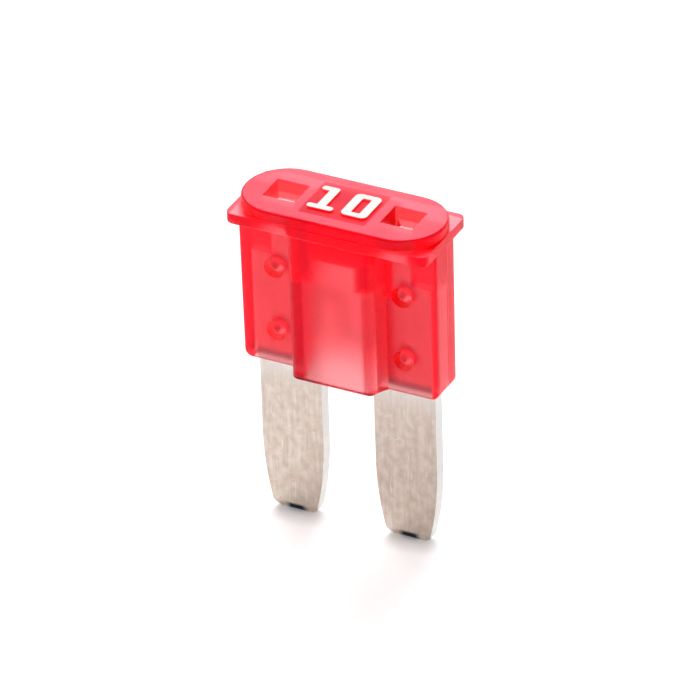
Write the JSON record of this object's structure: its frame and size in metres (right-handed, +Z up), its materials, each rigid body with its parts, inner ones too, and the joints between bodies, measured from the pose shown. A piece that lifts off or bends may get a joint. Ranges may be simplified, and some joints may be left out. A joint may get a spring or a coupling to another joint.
{
  "type": "automotive blade fuse",
  "caption": "Small plug-in blade fuse: translucent red moulded housing with a rimmed head and probe pockets, on a flat plated stamping with blades and a fusible link.",
  "frame": {"origin": "midway between the two blade tips, on the plane they stand on", "axes": "+Z up through the housing, +X along its width, the front face towards -Y"},
  "size_m": [0.0092, 0.0038, 0.0154],
  "materials": {
    "housing": "translucent moulded nylon",
    "fuse_element": "matte plated zinc sheet, rolled and stamped",
    "rating_figures": "hot-stamped foil"
  },
  "bodies": {
    "root": {"housing": "housing", "fuse_element": "fuse_element", "rating_figures": "rating_figures"}
  },
  "joints": []
}
